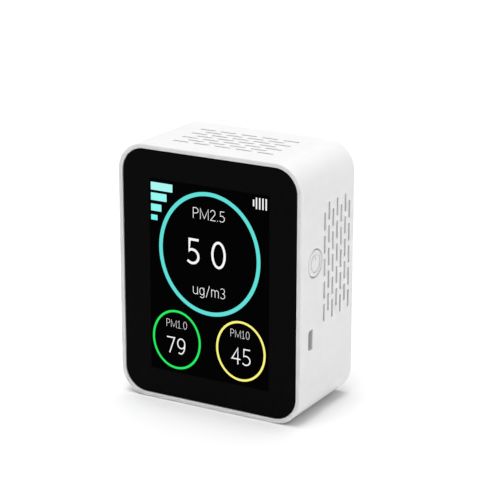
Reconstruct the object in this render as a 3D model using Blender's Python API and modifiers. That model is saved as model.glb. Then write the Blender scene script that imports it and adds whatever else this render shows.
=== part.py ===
"""Handheld particle monitor, built as it comes apart on a bench.

Frame: metres, origin at the centre of the base, +Z up, the display faces -Y, and the power
button and the micro-USB inlet are in the +X wall.
"""
import math

import bmesh
import bpy
from mathutils import Matrix, Vector

MM = 0.001

# Driving dimensions.
WIDTH = 70.2 * MM
DEPTH = 38.0 * MM
HEIGHT = 90.0 * MM
CORNER = 10.0 * MM
WALL = 2.0 * MM
RIM = 1.6 * MM
GAP = 0.3 * MM
FRONT_FILLET = 0.3 * MM
REAR_FILLET = 0.8 * MM
ARC_STEPS = 8

# Places that follow from the driving dimensions.
RIGHT = WIDTH / 2
FRONT = -DEPTH / 2
REAR = DEPTH / 2
MIDDLE = HEIGHT / 2
INNER_RIGHT = RIGHT - WALL

# Lens and the ledge behind it, counted back from the front.
LENS_SINK = 0.2 * MM
LENS_THICK = 1.2 * MM
LENS_SIDE_GAP = 0.2 * MM
TAPE_THICK = 0.5 * MM
LEDGE_THICK = 1.5 * MM
LENS_BACK = FRONT + LENS_SINK + LENS_THICK
TAPE_FRONT = LENS_BACK + GAP
TAPE_BACK = TAPE_FRONT + TAPE_THICK
LEDGE_FRONT = TAPE_BACK + GAP
LEDGE_BACK = LEDGE_FRONT + LEDGE_THICK
RECESS_CORNER = CORNER - RIM

# Display module: its active area is 46.4 x 68 mm.
WINDOW_HALF = 25.9 * MM
WINDOW_LOW = 5.2 * MM
WINDOW_HIGH = 81.6 * MM
PANEL_HALF = 24.8 * MM
PANEL_LOW = 7.6 * MM
PANEL_HIGH = 80.8 * MM
PANEL_THICK = 1.3 * MM
BACKLIGHT_GROWTH = 0.4 * MM
BACKLIGHT_THICK = 2.4 * MM
PANEL_FRONT = LENS_BACK + GAP
PANEL_BACK = PANEL_FRONT + PANEL_THICK
BACKLIGHT_FRONT = PANEL_BACK + GAP
BACKLIGHT_BACK = BACKLIGHT_FRONT + BACKLIGHT_THICK

# Ventilation slots: columns in the right wall, rows in the top wall.
SLOT_LENGTH = 6.2 * MM
SLOT_WIDTH = 1.3 * MM
SLOT_CHAMFER = 0.25 * MM
SIDE_COLUMNS = 7
SIDE_ROWS = 5
SIDE_COLUMN_PITCH = 2.92 * MM
SIDE_ROW_PITCH = 7.93 * MM
SIDE_STAGGER = 3.0 * MM
SIDE_CENTRE_Y = 6.2 * MM
SIDE_CENTRE_Z = 51.65 * MM
TOP_ROWS = 7
TOP_ROW_PITCH = 3.0 * MM
TOP_SLOT_PITCH = 8.1 * MM
TOP_LONG_ROW = 5

# Rear cover and its screws.
COVER_THICK = 2.4 * MM
COVER_INNER = REAR - COVER_THICK
BOSS_INSET = 6.2 * MM
BOSS_RADIUS = 3.0 * MM
PILOT_RADIUS = 1.1 * MM
PILOT_DEPTH = 12.0 * MM
SINK_RADIUS = 2.4 * MM
SINK_DEPTH = 1.4 * MM
SHAFT_RADIUS = 0.8 * MM
HEAD_RADIUS = 1.9 * MM
HEAD_HEIGHT = 1.0 * MM
CROSS_LENGTH = 2.2 * MM
CROSS_WIDTH = 0.5 * MM
CROSS_DEPTH = 0.5 * MM

# Main board.
BOARD_HALF = 31.5 * MM
BOARD_LOW = 11.0 * MM
BOARD_HIGH = 79.0 * MM
BOARD_FRONT = -10.1 * MM
BOARD_THICK = 1.6 * MM
BOARD_BACK = BOARD_FRONT + BOARD_THICK
PARTS_BASE = BOARD_BACK + GAP
BOARD_BOSS_RADIUS = 2.4 * MM
BOARD_BOSS_Z = (16.0 * MM, 74.0 * MM)
BOSS_X = RIGHT - BOSS_INSET
COVER_BOSS_Z = (BOSS_INSET, HEIGHT - BOSS_INSET)

# Power button and its switch.
BUTTON_Y = -8.8 * MM
BUTTON_Z = 54.9 * MM
BUTTON_RADIUS = 4.6 * MM
BUTTON_HOLE = 4.95 * MM
BUTTON_FLANGE = 5.6 * MM
FLANGE_THICK = 0.8 * MM
BUTTON_SINK = 0.1 * MM
SWITCH_FACE = 31.2 * MM
SWITCH_Y = -6.5 * MM
PLUNGER_RADIUS = 1.1 * MM
PLUNGER_BORE = 1.4 * MM

# Micro-USB inlet.
MOUTH_Y = -11.75 * MM
MOUTH_Z = 28.65 * MM
MOUTH_WIDE = 7.5 * MM
MOUTH_HIGH = 3.0 * MM
MOUTH_CHAMFER = 0.8 * MM
SHELL_WALL = 0.35 * MM
SHELL_LENGTH = 5.6 * MM

# Laser particle sensor.
SENSOR_LOW = Vector((-9.0 * MM, 1.9 * MM, 36.0 * MM))
SENSOR_HIGH = Vector((29.0 * MM, 15.5 * MM, 80.0 * MM))
SENSOR_WALL = 1.2 * MM
SENSOR_FLOOR = SENSOR_LOW.y + SENSOR_WALL
FAN_X = 8.0 * MM
FAN_Z = 67.5 * MM
FAN_RADIUS = 9.0 * MM
FAN_BLADES = 11
FAN_STEPS = 24


def clear_scene():
    """Removes every object of the open scene."""
    for obj in list(bpy.data.objects):
        bpy.data.objects.remove(obj, do_unlink=True)


def new_collection(name):
    """A collection linked to the scene."""
    collection = bpy.data.collections.new(name)
    bpy.context.scene.collection.children.link(collection)
    return collection


def principled(name, color, roughness, metallic=0.0):
    """A Principled material."""
    material = bpy.data.materials.new(name)
    material.use_nodes = True
    shader = material.node_tree.nodes["Principled BSDF"]
    shader.inputs["Base Color"].default_value = (*color, 1.0)
    shader.inputs["Roughness"].default_value = roughness
    shader.inputs["Metallic"].default_value = metallic
    return material


clear_scene()
PARTS = new_collection("air_quality_monitor")
CUTTERS = new_collection("cutters")
ROOT = bpy.data.objects.new("monitor_origin", None)
PARTS.objects.link(ROOT)


# ---------------------------------------------------------------- modelling helpers

def as_part(obj, color, roughness, metallic=0.0):
    """Gives a solid its own material and its place among the parts."""
    obj.data.materials.clear()
    obj.data.materials.append(principled(obj.name, color, roughness, metallic))
    PARTS.objects.link(obj)
    obj.parent = ROOT
    return obj


def as_cutter(obj):
    """Keeps a solid as a Boolean operand only."""
    CUTTERS.objects.link(obj)
    obj.hide_render = True
    obj.display_type = "WIRE"
    return obj


def boolean(target, operand, operation="DIFFERENCE"):
    """Cuts the operand from the target, or joins the two."""
    modifier = target.modifiers.new(operand.name, "BOOLEAN")
    modifier.operation = operation
    modifier.solver = "EXACT"
    modifier.object = as_cutter(operand)


def solid(name, bm, location=(0.0, 0.0, 0.0), rotation=(0.0, 0.0, 0.0)):
    """An object, placed, from a finished bmesh."""
    mesh = bpy.data.meshes.new(name)
    bm.to_mesh(mesh)
    bm.free()
    obj = bpy.data.objects.new(name, mesh)
    obj.location = location
    obj.rotation_euler = rotation
    return obj


def add_box(bm, low, high):
    """Adds a box between two opposite corners and returns its vertices."""
    low, high = Vector(low), Vector(high)
    size = high - low
    matrix = Matrix.Translation((low + high) / 2) @ Matrix.Diagonal((*size, 1.0))
    return bmesh.ops.create_cube(bm, size=1.0, matrix=matrix)["verts"]


def edges_along(verts, axis):
    """The edges of a box that run along one axis."""
    edges = {edge for vert in verts for edge in vert.link_edges}
    found = [e for e in edges if abs((e.verts[1].co - e.verts[0].co).normalized()[axis]) > 0.99]
    return sorted(found, key=lambda e: tuple(e.verts[0].co + e.verts[1].co))


def edges_at(bm, axis, value):
    """The edges that lie in a plane across an axis."""
    near = 0.001 * MM
    return [e for e in bm.edges if all(abs(v.co[axis] - value) < near for v in e.verts)]


def bevel(bm, edges, radius, steps):
    """Rounds edges of a bmesh."""
    bmesh.ops.bevel(bm, geom=edges, offset=radius, offset_type="OFFSET", segments=steps,
                    profile=0.5, affect="EDGES")


def block(name, low, high, corner=0.0, axis=1, steps=ARC_STEPS):
    """A box between two corners, centred on its own origin; its edges along axis may be round."""
    low, high = Vector(low), Vector(high)
    centre = (low + high) / 2
    bm = bmesh.new()
    verts = add_box(bm, low - centre, high - centre)
    if corner:
        bevel(bm, edges_along(verts, axis), corner, steps)
    return solid(name, bm, centre)


def rod(name, radius, start, length, axis, steps=20, end_radius=None):
    """A cylinder or a cone from its start point along +X, +Y or +Z."""
    rotation = {"X": (0.0, math.pi / 2, 0.0), "Y": (-math.pi / 2, 0.0, 0.0), "Z": (0.0, 0.0, 0.0)}
    bm = bmesh.new()
    far_radius = radius if end_radius is None else end_radius
    bmesh.ops.create_cone(bm, cap_ends=True, segments=steps, radius1=radius, radius2=far_radius,
                          depth=length, matrix=Matrix.Translation((0.0, 0.0, length / 2)))
    return solid(name, bm, start, rotation[axis])


def turned(name, profile, location, rotation, steps, closed=False):
    """A turned piece: (radius, height) points down its outer side, about the local Z axis."""
    mesh = bpy.data.meshes.new(name)
    verts = [(radius, 0.0, height) for radius, height in profile]
    edges = [(i, i + 1) for i in range(len(verts) - 1)]
    if closed:
        edges.append((len(verts) - 1, 0))
    mesh.from_pydata(verts, edges, [])
    obj = bpy.data.objects.new(name, mesh)
    obj.location = location
    obj.rotation_euler = rotation
    screw = obj.modifiers.new("turn", "SCREW")
    screw.steps = steps
    screw.render_steps = steps
    screw.use_merge_vertices = True
    screw.merge_threshold = 0.01 * MM
    return obj


def meshed(curve_object):
    """Replaces a curve object by its closed mesh."""
    PARTS.objects.link(curve_object)
    bpy.context.view_layer.update()
    evaluated = curve_object.evaluated_get(bpy.context.evaluated_depsgraph_get())
    mesh = bpy.data.meshes.new_from_object(evaluated)
    bm = bmesh.new()
    bm.from_mesh(mesh)
    bmesh.ops.remove_doubles(bm, verts=bm.verts, dist=0.001 * MM)
    bm.to_mesh(mesh)
    bm.free()
    name = curve_object.name
    matrix = curve_object.matrix_world.copy()
    bpy.data.objects.remove(curve_object)
    obj = bpy.data.objects.new(name, mesh)
    obj.matrix_world = matrix
    return obj


def extruded_outline(name, outline, thickness, location, rotation):
    """A flat plate of any outline, given in its own XY plane."""
    curve = bpy.data.curves.new(name, "CURVE")
    curve.dimensions = "2D"
    curve.fill_mode = "BOTH"
    curve.extrude = thickness / 2
    spline = curve.splines.new("POLY")
    spline.points.add(len(outline) - 1)
    spline.use_cyclic_u = True
    for point, (x, y) in zip(spline.points, outline):
        point.co = (x, y, 0.0, 1.0)
    obj = bpy.data.objects.new(name, curve)
    obj.location = location
    obj.rotation_euler = rotation
    return meshed(obj)


def folded_strip(name, path, width, across, thickness):
    """A flat cable: a path in one plane, spread by its width across it, and thickened."""
    bm = bmesh.new()
    half = Vector(across) * width / 2
    pairs = [(bm.verts.new(Vector(p) - half), bm.verts.new(Vector(p) + half)) for p in path]
    for (a, b), (c, d) in zip(pairs, pairs[1:]):
        bm.faces.new((a, b, d, c))
    obj = solid(name, bm)
    thicken = obj.modifiers.new("thickness", "SOLIDIFY")
    thicken.thickness = thickness
    thicken.offset = 0.0
    return obj


def fillet_path(corners, radius, steps=3):
    """A path through corner points, with an arc in place of each inner corner."""
    path = [Vector(corners[0])]
    for before, corner, after in zip(corners, corners[1:], corners[2:]):
        corner = Vector(corner)
        first = (Vector(before) - corner).normalized()
        last = (Vector(after) - corner).normalized()
        half_angle = first.angle(last) / 2
        setback = radius / math.tan(half_angle)
        centre = corner + (first + last).normalized() * radius / math.sin(half_angle)
        start = corner + first * setback - centre
        end = corner + last * setback - centre
        sweep = start.angle(end)
        for i in range(steps + 1):
            t = i / steps
            turn = start * math.sin((1 - t) * sweep) + end * math.sin(t * sweep)
            path.append(centre + turn / math.sin(sweep))
    path.append(Vector(corners[-1]))
    return path


def smooth_route(points, steps=4):
    """Points on a Catmull-Rom curve through the given ones."""
    points = [Vector(p) for p in points]
    padded = [2 * points[0] - points[1], *points, 2 * points[-1] - points[-2]]
    route = []
    for a, b, c, d in zip(padded, padded[1:], padded[2:], padded[3:]):
        for i in range(steps):
            t = i / steps
            route.append(0.5 * (2 * b + (c - a) * t + (2 * a - 5 * b + 4 * c - d) * t ** 2
                                + (3 * b - a - 3 * c + d) * t ** 3))
    route.append(points[-1])
    return route


def wire(name, points, radius):
    """A round lead along a smooth route."""
    curve = bpy.data.curves.new(name, "CURVE")
    curve.dimensions = "3D"
    curve.bevel_depth = radius
    curve.bevel_resolution = 2
    curve.use_fill_caps = True
    spline = curve.splines.new("POLY")
    route = smooth_route(points)
    spline.points.add(len(route) - 1)
    for point, co in zip(spline.points, route):
        point.co = (*co, 1.0)
    return bpy.data.objects.new(name, curve)


def smooth(obj, angle=35.0):
    """Shades a round piece smooth, with its edges sharp."""
    obj.data.shade_smooth()
    obj.data.set_sharp_from_angle(angle=math.radians(angle))
    return obj


# ---------------------------------------------------------------- housing

def slot_positions_side():
    """Centres (y, z) of the slots in the right wall, every second column raised."""
    for column in range(SIDE_COLUMNS):
        y = SIDE_CENTRE_Y + (column - (SIDE_COLUMNS - 1) / 2) * SIDE_COLUMN_PITCH
        raised = SIDE_STAGGER if column % 2 else 0.0
        for row in range(SIDE_ROWS):
            yield y, SIDE_CENTRE_Z + raised + (row - (SIDE_ROWS - 1) / 2) * SIDE_ROW_PITCH


def slot_positions_top():
    """Centres (x, y) of the slots in the top wall, five and four by turns."""
    for row in range(TOP_ROWS):
        count = TOP_LONG_ROW - row % 2
        y = (row - (TOP_ROWS - 1) / 2) * TOP_ROW_PITCH
        for i in range(count):
            yield (i - (count - 1) / 2) * TOP_SLOT_PITCH, y


def slot_cutter(name, centres, across, long_axis):
    """One cutter of many slots, each a box through the wall with chamfered corners."""
    bm = bmesh.new()
    half = Vector((SLOT_WIDTH / 2, SLOT_WIDTH / 2, SLOT_WIDTH / 2))
    half[long_axis] = SLOT_LENGTH / 2
    half[across] = 2 * WALL
    for centre in centres:
        verts = add_box(bm, Vector(centre) - half, Vector(centre) + half)
        bevel(bm, edges_along(verts, across), SLOT_CHAMFER, 1)
    return solid(name, bm)


def mouth_outline(grow):
    """The inlet's outline, chamfered on its front side, as (-z, y) about its centre."""
    half_wide = MOUTH_WIDE / 2 + grow
    half_high = MOUTH_HIGH / 2 + grow
    return [(-half_wide, half_high), (-half_wide, MOUTH_CHAMFER - half_high),
            (MOUTH_CHAMFER - half_wide, -half_high), (half_wide - MOUTH_CHAMFER, -half_high),
            (half_wide, MOUTH_CHAMFER - half_high), (half_wide, half_high)]


def across_x(name, outline, low_x, high_x):
    """A solid of the inlet's outline between two places along X."""
    middle = ((low_x + high_x) / 2, MOUTH_Y, MOUTH_Z)
    return extruded_outline(name, outline, high_x - low_x, middle, (0.0, math.pi / 2, 0.0))


def outer_body():
    """The outside of the housing: round corners, a fine front edge and a softer rear edge."""
    centre = Vector((0.0, 0.0, MIDDLE))
    size = Vector((WIDTH, DEPTH, HEIGHT))
    bm = bmesh.new()
    verts = add_box(bm, -size / 2, size / 2)
    bevel(bm, edges_along(verts, 1), CORNER, ARC_STEPS)
    bevel(bm, edges_at(bm, 1, FRONT), FRONT_FILLET, 1)
    bevel(bm, edges_at(bm, 1, REAR), REAR_FILLET, 2)
    return solid("housing", bm, centre)


def build_housing():
    """Front frame and four walls in one moulding, open at the back."""
    housing = outer_body()
    recess = block("lens_recess", (RIM - RIGHT, FRONT - WALL, RIM),
                   (RIGHT - RIM, LEDGE_FRONT, HEIGHT - RIM), RECESS_CORNER)
    boolean(housing, recess)
    cavity = block("rear_cavity", (-INNER_RIGHT, LEDGE_BACK, WALL),
                   (INNER_RIGHT, REAR + WALL, HEIGHT - WALL), CORNER - WALL)
    boolean(housing, cavity)
    window = block("display_window", (-WINDOW_HALF, FRONT, WINDOW_LOW),
                   (WINDOW_HALF, 0.0, WINDOW_HIGH))
    boolean(housing, window)
    root_y = (LEDGE_FRONT + LEDGE_BACK) / 2
    for side in (-1, 1):
        for row, z in enumerate(COVER_BOSS_Z):
            label = f"cover_boss_{side}_{row}"
            start = (side * BOSS_X, root_y, z)
            boolean(housing, rod(label, BOSS_RADIUS, start, COVER_INNER - GAP - root_y, "Y", 16),
                    "UNION")
            start = (side * BOSS_X, COVER_INNER - PILOT_DEPTH, z)
            boolean(housing, rod(label + "_pilot", PILOT_RADIUS, start, 2 * PILOT_DEPTH, "Y", 12))
        for row, z in enumerate(BOARD_BOSS_Z):
            label = f"board_boss_{side}_{row}"
            start = (side * BOSS_X, root_y, z)
            boolean(housing, rod(label, BOARD_BOSS_RADIUS, start, BOARD_FRONT - GAP - root_y, "Y", 16),
                    "UNION")
            start = (side * BOSS_X, LEDGE_BACK, z)
            boolean(housing, rod(label + "_pilot", PILOT_RADIUS, start, PILOT_DEPTH, "Y", 12))
    side_centres = [(RIGHT, y, z) for y, z in slot_positions_side()]
    boolean(housing, slot_cutter("side_grille", side_centres, 0, 2))
    top_centres = [(x, y, HEIGHT) for x, y in slot_positions_top()]
    boolean(housing, slot_cutter("top_grille", top_centres, 2, 0))
    start = (INNER_RIGHT - WALL, BUTTON_Y, BUTTON_Z)
    boolean(housing, rod("button_hole", BUTTON_HOLE, start, 3 * WALL, "X", 28))
    boolean(housing, across_x("usb_mouth", mouth_outline(0.0), INNER_RIGHT - WALL, RIGHT + WALL))
    return as_part(smooth(housing), (0.86, 0.86, 0.85), 0.42)


# ---------------------------------------------------------------- lens and display

def build_lens():
    """Cover lens that fills the front inside the rim."""
    inset = RIM + LENS_SIDE_GAP
    lens = block("front_glass", (inset - RIGHT, FRONT + LENS_SINK, inset),
                 (RIGHT - inset, LENS_BACK, HEIGHT - inset), RECESS_CORNER - LENS_SIDE_GAP)
    return as_part(smooth(lens), (0.01, 0.01, 0.01), 0.08)


def build_lens_tape():
    """Frame of double-sided tape on the ledge."""
    inset = RIM + GAP
    tape = block("lens_adhesive", (inset - RIGHT, TAPE_FRONT, inset),
                 (RIGHT - inset, TAPE_BACK, HEIGHT - inset), RECESS_CORNER - GAP)
    opening = block("tape_opening", (-WINDOW_HALF - GAP, FRONT, WINDOW_LOW - GAP),
                    (WINDOW_HALF + GAP, 0.0, WINDOW_HIGH + GAP))
    boolean(tape, opening)
    return as_part(tape, (0.03, 0.03, 0.03), 0.8)


def build_display():
    """Display panel, its backlight tray, the folded flex and the connector it plugs into."""
    panel = block("lcd_panel", (-PANEL_HALF, PANEL_FRONT, PANEL_LOW),
                  (PANEL_HALF, PANEL_BACK, PANEL_HIGH))
    as_part(panel, (0.02, 0.02, 0.025), 0.15)
    half = PANEL_HALF + BACKLIGHT_GROWTH
    tray = block("lcd_backlight", (-half, BACKLIGHT_FRONT, PANEL_LOW - BACKLIGHT_GROWTH),
                 (half, BACKLIGHT_BACK, PANEL_HIGH + BACKLIGHT_GROWTH), 0.6 * MM, steps=2)
    as_part(tray, (0.75, 0.76, 0.78), 0.35, 0.6)
    connector_low = BOARD_LOW + 2.5 * MM
    connector_front = BOARD_FRONT - GAP - 2.2 * MM
    flex_y = connector_front + 0.7 * MM
    flex_x = 0.0
    flex_turn = WINDOW_LOW + 1.1 * MM
    corners = [(flex_x, PANEL_BACK - 0.5 * MM, PANEL_LOW - GAP),
               (flex_x, PANEL_BACK - 0.5 * MM, flex_turn),
               (flex_x, flex_y, flex_turn),
               (flex_x, flex_y, connector_low - GAP)]
    flex = folded_strip("lcd_flex", fillet_path(corners, 0.8 * MM), 24 * MM, (1, 0, 0), 0.3 * MM)
    as_part(flex, (0.55, 0.28, 0.05), 0.4)
    connector = block("lcd_connector", (-13.5 * MM, connector_front, connector_low),
                      (13.5 * MM, BOARD_FRONT - GAP, connector_low + 4 * MM))
    as_part(connector, (0.80, 0.78, 0.70), 0.5)


# ---------------------------------------------------------------- rear cover and fasteners

def build_rear_cover():
    """Flat cover let into the back, with a countersunk hole over each boss."""
    side = WALL + GAP
    cover = block("rear_cover", (side - RIGHT, COVER_INNER, side),
                  (RIGHT - side, REAR, HEIGHT - side), CORNER - side)
    for column in (-1, 1):
        for row, z in enumerate(COVER_BOSS_Z):
            label = f"cover_hole_{column}_{row}"
            start = (column * BOSS_X, COVER_INNER - WALL, z)
            boolean(cover, rod(label, PILOT_RADIUS, start, 3 * WALL, "Y", 12))
            start = (column * BOSS_X, REAR - SINK_DEPTH, z)
            boolean(cover, rod(label + "_sink", SINK_RADIUS, start, 2 * WALL, "Y", 20))
    return as_part(smooth(cover), (0.85, 0.85, 0.84), 0.45)


def build_screw(name, x, y, z, length):
    """A pan-head screw with a cross recess, its head towards +Y; y is the head's underside."""
    profile = [(0.0, HEAD_HEIGHT), (HEAD_RADIUS * 0.7, HEAD_HEIGHT),
               (HEAD_RADIUS, HEAD_HEIGHT * 0.5), (HEAD_RADIUS, 0.0),
               (SHAFT_RADIUS, 0.0), (SHAFT_RADIUS, SHAFT_RADIUS - length), (0.0, -length)]
    screw = turned(name, profile, (x, y, z), (-math.pi / 2, 0.0, 0.0), 14)
    top = y + HEAD_HEIGHT
    for label, half_x, half_z in (("a", CROSS_LENGTH / 2, CROSS_WIDTH / 2),
                                  ("b", CROSS_WIDTH / 2, CROSS_LENGTH / 2)):
        slot = block(f"{name}_cross_{label}", (x - half_x, top - CROSS_DEPTH, z - half_z),
                     (x + half_x, top + CROSS_DEPTH, z + half_z))
        boolean(screw, slot)
    return as_part(screw, (0.55, 0.55, 0.56), 0.35, 1.0)


def build_fasteners():
    """Four screws hold the rear cover and four hold the main board."""
    number = 0
    for z_index in range(2):
        for side in (-1, 1):
            number += 1
            build_screw(f"rear_screw_{number}", side * BOSS_X, REAR - SINK_DEPTH + GAP,
                        COVER_BOSS_Z[z_index], 9.0 * MM)
            build_screw(f"board_screw_{number}", side * BOSS_X, BOARD_BACK + GAP,
                        BOARD_BOSS_Z[z_index], 5.4 * MM)


# ---------------------------------------------------------------- main board and its parts

def build_board():
    """Printed circuit board with its four screw holes."""
    board = block("main_board", (-BOARD_HALF, BOARD_FRONT, BOARD_LOW),
                  (BOARD_HALF, BOARD_BACK, BOARD_HIGH), 1.5 * MM, steps=2)
    for side in (-1, 1):
        for row, z in enumerate(BOARD_BOSS_Z):
            start = (side * BOSS_X, BOARD_FRONT - WALL, z)
            boolean(board, rod(f"board_hole_{side}_{row}", PILOT_RADIUS, start, 3 * WALL, "Y", 12))
    return as_part(board, (0.02, 0.16, 0.07), 0.4)


def board_part(name, centre_x, centre_z, size, color, roughness, metallic=0.0, corner=0.0):
    """A component that sits on the rear face of the main board; size is (x, y, z)."""
    low = (centre_x - size[0] / 2, PARTS_BASE, centre_z - size[2] / 2)
    high = (centre_x + size[0] / 2, PARTS_BASE + size[1], centre_z + size[2] / 2)
    part = block(name, low, high, corner, steps=3)
    return as_part(part, color, roughness, metallic)


def build_components():
    """Integrated circuits, crystal and the sockets of the battery and the sensor."""
    board_part("microcontroller", 11 * MM, 58 * MM, (12 * MM, 1.4 * MM, 12 * MM),
               (0.03, 0.03, 0.03), 0.6)
    board_part("charger_chip", 21.5 * MM, 40 * MM, (3.9 * MM, 1.5 * MM, 4.9 * MM),
               (0.03, 0.03, 0.03), 0.6)
    board_part("crystal", -1 * MM, 55 * MM, (11 * MM, 3.2 * MM, 4.6 * MM),
               (0.70, 0.70, 0.72), 0.25, 1.0, corner=2.2 * MM)
    board_part("battery_connector", -10 * MM, 43.5 * MM, (6.0 * MM, 4.0 * MM, 4.6 * MM),
               (0.85, 0.83, 0.76), 0.5)
    board_part("sensor_connector", -20 * MM, 44.5 * MM, (3.8 * MM, 3.4 * MM, 10.0 * MM),
               (0.85, 0.83, 0.76), 0.5)


def build_usb():
    """Micro-USB receptacle: a metal shell, closed behind, around a tongue on its block."""
    shell_high_x = INNER_RIGHT - GAP
    shell_low_x = shell_high_x - SHELL_LENGTH
    outer = -0.15 * MM
    shell = across_x("usb_shell", mouth_outline(outer), shell_low_x, shell_high_x)
    hollow = across_x("usb_hollow", mouth_outline(outer - SHELL_WALL),
                      shell_low_x + SHELL_WALL, shell_high_x + WALL)
    boolean(shell, hollow)
    as_part(shell, (0.70, 0.70, 0.70), 0.3, 1.0)
    block_x = shell_low_x + SHELL_WALL + GAP
    tongue = block("usb_tongue", (block_x, MOUTH_Y - 0.6 * MM, MOUTH_Z - 2.4 * MM),
                   (block_x + 1.4 * MM, MOUTH_Y + 0.7 * MM, MOUTH_Z + 2.4 * MM))
    blade = block("usb_blade", (block_x + 0.7 * MM, MOUTH_Y - 0.1 * MM, MOUTH_Z - 1.8 * MM),
                  (shell_high_x - 0.7 * MM, MOUTH_Y + 0.5 * MM, MOUTH_Z + 1.8 * MM))
    boolean(tongue, blade, "UNION")
    as_part(tongue, (0.04, 0.04, 0.04), 0.5)


def build_button():
    """Round cap with a flange that keeps it in the wall; its origin is on its own axis."""
    face = RIGHT - BUTTON_SINK
    flange_out = INNER_RIGHT - GAP
    flange_in = flange_out - FLANGE_THICK
    edge = 0.2 * MM
    profile = [(0.0, face - flange_in), (BUTTON_RADIUS - edge, face - flange_in),
               (BUTTON_RADIUS, face - flange_in - edge), (BUTTON_RADIUS, FLANGE_THICK),
               (BUTTON_FLANGE, FLANGE_THICK), (BUTTON_FLANGE, 0.0), (0.0, 0.0)]
    cap = turned("power_button", profile, (flange_in, BUTTON_Y, BUTTON_Z),
                 (0.0, math.pi / 2, 0.0), 28)
    as_part(cap, (0.86, 0.86, 0.85), 0.4)


def build_switch():
    """Side-push tactile switch at the edge of the board, and its plunger."""
    body = block("switch_body", (SWITCH_FACE - 3.8 * MM, PARTS_BASE, BUTTON_Z - 3.0 * MM),
                 (SWITCH_FACE, PARTS_BASE + 3.4 * MM, BUTTON_Z + 3.0 * MM))
    bore_start = (SWITCH_FACE - 2.2 * MM, SWITCH_Y, BUTTON_Z)
    boolean(body, rod("plunger_bore", PLUNGER_BORE, bore_start, 2 * WALL, "X", 16))
    as_part(body, (0.05, 0.05, 0.05), 0.5)
    plunger_start = SWITCH_FACE - 1.3 * MM
    tip = INNER_RIGHT - GAP - FLANGE_THICK - GAP
    plunger = rod("switch_plunger", PLUNGER_RADIUS, (plunger_start, SWITCH_Y, BUTTON_Z),
                  tip - plunger_start, "X", 16)
    as_part(smooth(plunger), (0.75, 0.73, 0.68), 0.45)


# ---------------------------------------------------------------- battery

def build_battery():
    """Pouch cell taped to the board, and its two leads."""
    half_x = 25.0 * MM
    low_z, high_z = 4.0 * MM, 34.0 * MM
    tape_back = PARTS_BASE + 0.5 * MM
    cell_front = tape_back + GAP
    tape = block("battery_tape", (-18 * MM, PARTS_BASE, 13 * MM), (18 * MM, tape_back, 31 * MM))
    as_part(tape, (0.9, 0.9, 0.85), 0.8)
    cell = block("battery", (-half_x, cell_front, low_z), (half_x, cell_front + 9.4 * MM, high_z),
                 2.2 * MM, axis=0, steps=3)
    as_part(smooth(cell), (0.62, 0.64, 0.67), 0.38, 0.4)
    socket_y = PARTS_BASE + 4.0 * MM + GAP
    for name, start_x, end_x, color in (
            ("battery_lead_positive", -18.2 * MM, -11.1 * MM, (0.6, 0.02, 0.02)),
            ("battery_lead_negative", -16.0 * MM, -8.9 * MM, (0.02, 0.02, 0.02))):
        points = [(start_x, -2.4 * MM, high_z + GAP), (start_x, -2.2 * MM, 36.5 * MM),
                  ((start_x + end_x) / 2 - 0.4 * MM, -1.4 * MM, 41.0 * MM),
                  (end_x, -2.4 * MM, 43.5 * MM), (end_x, socket_y, 43.5 * MM)]
        as_part(wire(name, points, 0.6 * MM), color, 0.5)


# ---------------------------------------------------------------- particle sensor

def build_sensor_case():
    """Tray with intake, exhaust and cable ports, and its flat lid."""
    tray_back = SENSOR_HIGH.y - SENSOR_WALL - GAP
    tray = block("sensor_case", SENSOR_LOW, (SENSOR_HIGH.x, tray_back, SENSOR_HIGH.z),
                 1.5 * MM, steps=2)
    inset = Vector((SENSOR_WALL, SENSOR_WALL, SENSOR_WALL))
    hollow_high = Vector((SENSOR_HIGH.x - SENSOR_WALL, REAR, SENSOR_HIGH.z - SENSOR_WALL))
    boolean(tray, block("sensor_hollow", SENSOR_LOW + inset, hollow_high))
    intake = block("intake_port", (SENSOR_HIGH.x - 2 * MM, 5.6 * MM, 45 * MM),
                   (SENSOR_HIGH.x + 2 * MM, 11.4 * MM, 60 * MM))
    exhaust = block("exhaust_port", (2 * MM, 5.6 * MM, SENSOR_HIGH.z - 2 * MM),
                    (14 * MM, 11.4 * MM, SENSOR_HIGH.z + 2 * MM))
    cable_port = block("cable_port", (SENSOR_LOW.x - 2 * MM, 4.3 * MM, 39.7 * MM),
                       (SENSOR_LOW.x + 2 * MM, 8.6 * MM, 49.3 * MM))
    for port in (intake, exhaust, cable_port):
        boolean(tray, port)
    as_part(tray, (0.05, 0.05, 0.055), 0.5)
    lid = block("sensor_lid", (SENSOR_LOW.x, tray_back + GAP, SENSOR_LOW.z), SENSOR_HIGH,
                1.5 * MM, steps=2)
    as_part(lid, (0.60, 0.61, 0.62), 0.3, 1.0)
    pad = block("sensor_pad", (0.0, SENSOR_HIGH.y + GAP, 46 * MM),
                (20 * MM, COVER_INNER - GAP, 70 * MM))
    as_part(pad, (0.08, 0.08, 0.08), 0.9)


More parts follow.
